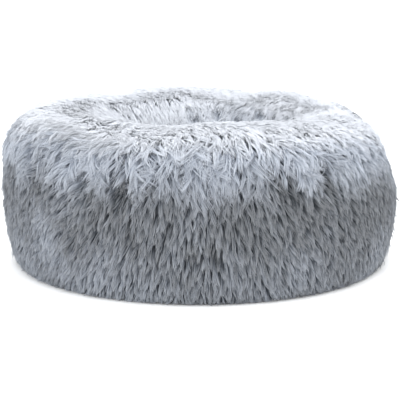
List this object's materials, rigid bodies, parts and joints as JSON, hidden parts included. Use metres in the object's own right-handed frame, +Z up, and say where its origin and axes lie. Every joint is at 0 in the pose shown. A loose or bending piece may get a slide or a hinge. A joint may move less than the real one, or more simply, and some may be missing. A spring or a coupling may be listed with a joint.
{
  "type": "pet cushion bed",
  "caption": "Round deep pet bed in long-pile faux fur: a raised ring bolster round a sunken loose centre cushion, with a zipped cover and an anti-slip base.",
  "frame": {"origin": "centre of the bed's footprint on the floor, at the underside of the base panel", "axes": "+Z up along the bed's round axis; the front faces -Y and the zip runs round the lower back edge on the +Y side"},
  "size_m": [0.6, 0.6, 0.236],
  "materials": {
    "fur": "long-pile faux fur, frosted light grey",
    "base_cloth": "coated woven cloth with raised anti-slip dots",
    "binding": "woven bias binding",
    "lining": "plain polyester lining and non-woven cloth",
    "fibre": "loose polyester fibre",
    "zip_tape": "woven polyester tape",
    "nylon": "moulded nylon coil",
    "nickel": "nickel-plated die-cast zinc",
    "label": "white satin ribbon, blank"
  },
  "bodies": {
    "bed": {"bolster_cover": "fur", "bolster_liner": "lining", "bolster_fill": "fibre", "base_panel": "base_cloth", "base_binding": "binding", "well_floor": "lining", "zip_tape_upper": "zip_tape", "zip_tape_lower": "zip_tape", "zip_coil_upper": "nylon", "zip_coil_lower": "nylon", "zip_stop_closed": "nickel", "zip_stop_open": "nickel", "care_label": "label"},
    "centre_cushion": {"cushion_cover": "fur", "cushion_base": "lining", "cushion_liner": "lining", "cushion_fill": "fibre"},
    "zip_slider": {"slider_body": "nickel"},
    "zip_pull": {"pull_tab": "nickel"}
  },
  "joints": [
    {"name": "cushion_lift", "type": "slide", "parent": "bed", "child": "centre_cushion", "axis": [0, 0, 1], "range_m": [0, 0.25]},
    {"name": "zip_travel", "type": "hinge", "parent": "bed", "child": "zip_slider", "pos_m": [0, 0, 0], "axis": [0, 0, 1], "range_deg": [-87, 0]},
    {"name": "pull_swing", "type": "hinge", "parent": "zip_slider", "child": "zip_pull", "pos_m": [-0.18727, 0.19734, 0.017], "axis": [0, 0, 1], "range_deg": [0, 170]}
  ]
}
